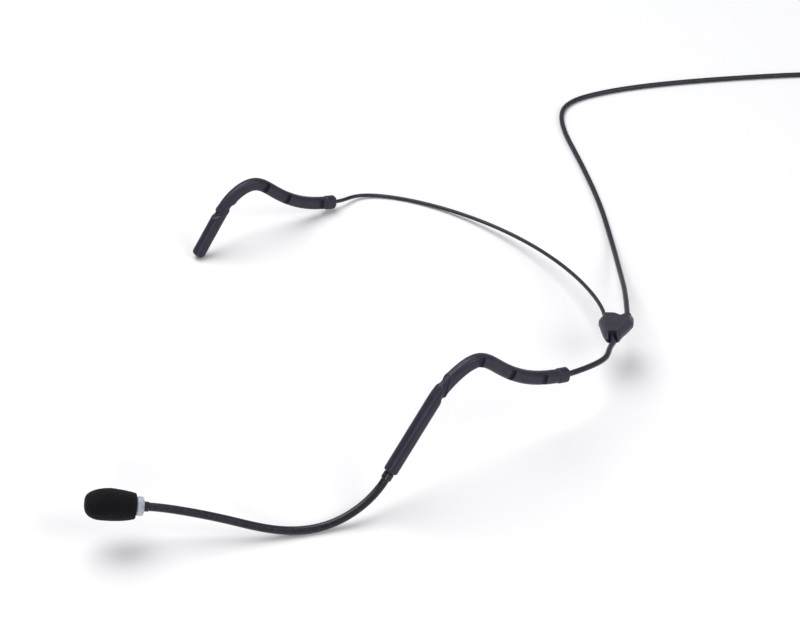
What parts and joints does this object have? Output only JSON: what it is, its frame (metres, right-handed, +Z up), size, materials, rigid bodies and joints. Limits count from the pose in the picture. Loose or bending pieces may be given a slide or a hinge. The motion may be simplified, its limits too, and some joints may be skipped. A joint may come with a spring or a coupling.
{
  "type": "headset microphone",
  "caption": "Double-ear headset microphone with rubber ear hooks on a sprung neckband, a gooseneck boom with a foam windscreen, a three-way junction and one thin cable to a jack plug.",
  "frame": {"origin": "centre of the bounding box of the headset without its cable, on the surface it rests on", "axes": "+Z up from the surface; the camera side is -Y; the headset rests on its boom, its far tip and its neckband"},
  "size_m": [0.306, 0.2865, 0.0443],
  "materials": {
    "left_ear_grip": "satin",
    "left_boom_holder": "satin",
    "left_spring_wire": "satin",
    "left_neck_jacket": "matt",
    "right_ear_grip": "satin",
    "right_tip_sleeve": "satin",
    "right_spring_wire": "satin",
    "right_neck_jacket": "matt",
    "junction_cover": "satin",
    "junction_base": "satin",
    "junction_screw": "blackened",
    "left_wire_ferrule": "matt",
    "right_wire_ferrule": "matt",
    "cable_collar": "matt",
    "holder_liner": "plain",
    "boom_stem": "plain",
    "boom_collar": "matt",
    "boom_jacket_1": "satin",
    "boom_jacket_2": "satin",
    "boom_jacket_3": "satin",
    "boom_core_1": "plain",
    "boom_core_2": "plain",
    "boom_core_3": "plain",
    "mic_tail_sleeve": "satin",
    "drip_ring": "translucent",
    "capsule_housing": "satin",
    "electret_capsule": "plain",
    "capsule_gasket": "matt",
    "capsule_grille": "matt",
    "foam_windscreen": "open foam",
    "cable": "matt",
    "cable_coil": "matt",
    "cable_tail": "matt",
    "coil_tie": "hook and loop",
    "plug_boot": "matt",
    "plug_barrel": "satin",
    "locking_nut": "satin",
    "plug_sleeve_contact": "gold plated",
    "plug_insulator_1": "plain",
    "plug_ring_contact": "gold plated",
    "plug_insulator_2": "plain",
    "plug_tip_contact": "gold plated"
  },
  "bodies": {
    "junction": {"junction_cover": "junction_cover", "junction_base": "junction_base", "junction_screw": "junction_screw", "left_wire_ferrule": "left_wire_ferrule", "right_wire_ferrule": "right_wire_ferrule", "cable_collar": "cable_collar", "cable": "cable", "cable_coil": "cable_coil", "cable_tail": "cable_tail", "coil_tie": "coil_tie", "plug_boot": "plug_boot", "plug_barrel": "plug_barrel", "plug_sleeve_contact": "plug_sleeve_contact", "plug_insulator_1": "plug_insulator_1", "plug_ring_contact": "plug_ring_contact", "plug_insulator_2": "plug_insulator_2", "plug_tip_contact": "plug_tip_contact"},
    "left_arm": {"left_ear_grip": "left_ear_grip", "left_boom_holder": "left_boom_holder", "left_spring_wire": "left_spring_wire", "left_neck_jacket": "left_neck_jacket", "holder_liner": "holder_liner"},
    "right_arm": {"right_ear_grip": "right_ear_grip", "right_tip_sleeve": "right_tip_sleeve", "right_spring_wire": "right_spring_wire", "right_neck_jacket": "right_neck_jacket"},
    "boom_base": {"boom_stem": "boom_stem", "boom_collar": "boom_collar", "boom_jacket_1": "boom_jacket_1", "boom_core_1": "boom_core_1"},
    "boom_middle": {"boom_jacket_2": "boom_jacket_2", "boom_core_2": "boom_core_2"},
    "boom_front": {"boom_jacket_3": "boom_jacket_3", "boom_core_3": "boom_core_3", "mic_tail_sleeve": "mic_tail_sleeve", "drip_ring": "drip_ring", "capsule_housing": "capsule_housing", "electret_capsule": "electret_capsule", "capsule_gasket": "capsule_gasket", "capsule_grille": "capsule_grille"},
    "windscreen": {"foam_windscreen": "foam_windscreen"},
    "nut": {"locking_nut": "locking_nut"}
  },
  "joints": [
    {"name": "left_arm_flex", "type": "hinge", "parent": "junction", "child": "left_arm", "pos_m": [0.08219, -0.01151, 0.01763], "axis": [0.0492, 0.1875, 0.981], "range_deg": [-10, 8], "stiffness_Nm_per_rad": 0.3},
    {"name": "right_arm_flex", "type": "hinge", "parent": "junction", "child": "right_arm", "pos_m": [0.08051, 0.00947, 0.0137], "axis": [0.0492, 0.1875, 0.981], "range_deg": [-8, 10], "stiffness_Nm_per_rad": 0.3},
    {"name": "boom_swivel", "type": "hinge", "parent": "left_arm", "child": "boom_base", "pos_m": [0.00652, -0.07335, 0.01345], "axis": [-0.5133, -0.4407, -0.7364], "range_deg": [-40, 40]},
    {"name": "boom_bend_1", "type": "hinge", "parent": "boom_base", "child": "boom_middle", "pos_m": [-0.03133, -0.08915, 0.00321], "axis": [0.5281, -0.8386, 0.1338], "range_deg": [-25, 25]},
    {"name": "boom_bend_2", "type": "hinge", "parent": "boom_middle", "child": "boom_front", "pos_m": [-0.05498, -0.08957, 0.01009], "axis": [0.0492, 0.1875, 0.981], "range_deg": [-25, 25]},
    {"name": "windscreen_pull", "type": "slide", "parent": "boom_front", "child": "windscreen", "axis": [-0.9735, -0.1231, 0.1927], "range_m": [0, 0.018]},
    {"name": "locking_nut_turn", "type": "hinge", "parent": "junction", "child": "nut", "pos_m": [0.2122, 0.1345, 0.0047], "axis": [0, -1, 0], "continuous": true}
  ]
}
